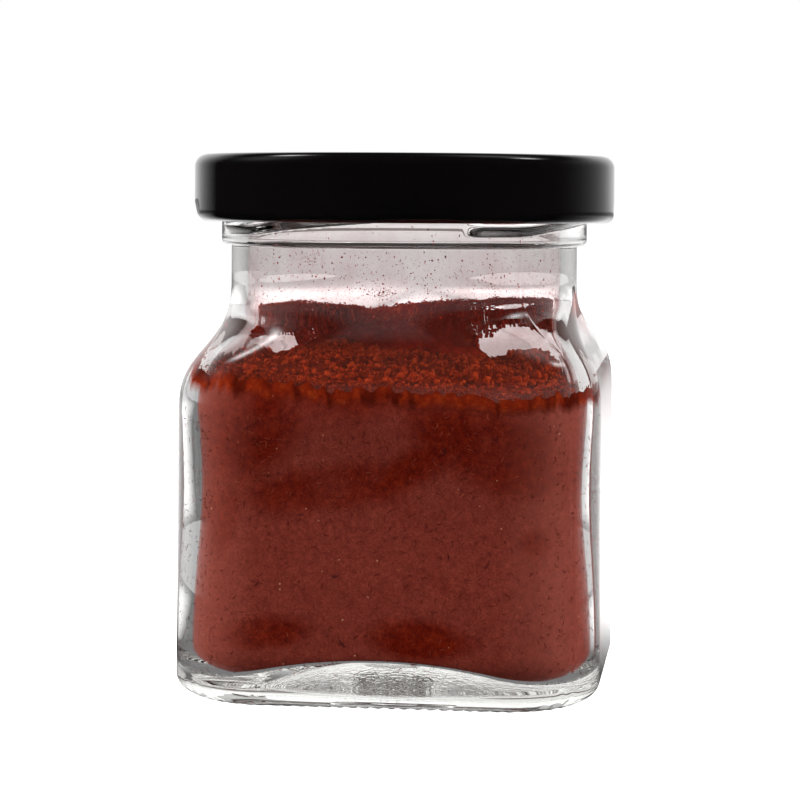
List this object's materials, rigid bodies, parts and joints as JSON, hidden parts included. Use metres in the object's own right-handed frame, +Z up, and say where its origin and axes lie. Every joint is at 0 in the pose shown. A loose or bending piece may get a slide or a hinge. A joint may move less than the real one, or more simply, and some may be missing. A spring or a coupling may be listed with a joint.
{
  "type": "square glass jar of ground spice",
  "caption": "small square clear glass jar with a black twist-off metal lid, filled with ground red spice below an open headspace",
  "frame": {"origin": "on the standing plane under the middle of the jar", "axes": "+Z up through the lid, -Y out of the flat front of the jar, +X to the right seen from the front"},
  "size_m": [0.0556, 0.0556, 0.0692],
  "materials": {
    "clear_glass": "smooth clear glass",
    "black_lid": "gloss black enamel on tinplate",
    "lid_seal": "matt soft sealing compound",
    "spice": "dry ground red spice, matt and slightly lumpy"
  },
  "bodies": {
    "root": {"glass_jar": "clear_glass", "lid": "black_lid", "seal_ring": "lid_seal", "powder": "spice"}
  },
  "joints": []
}
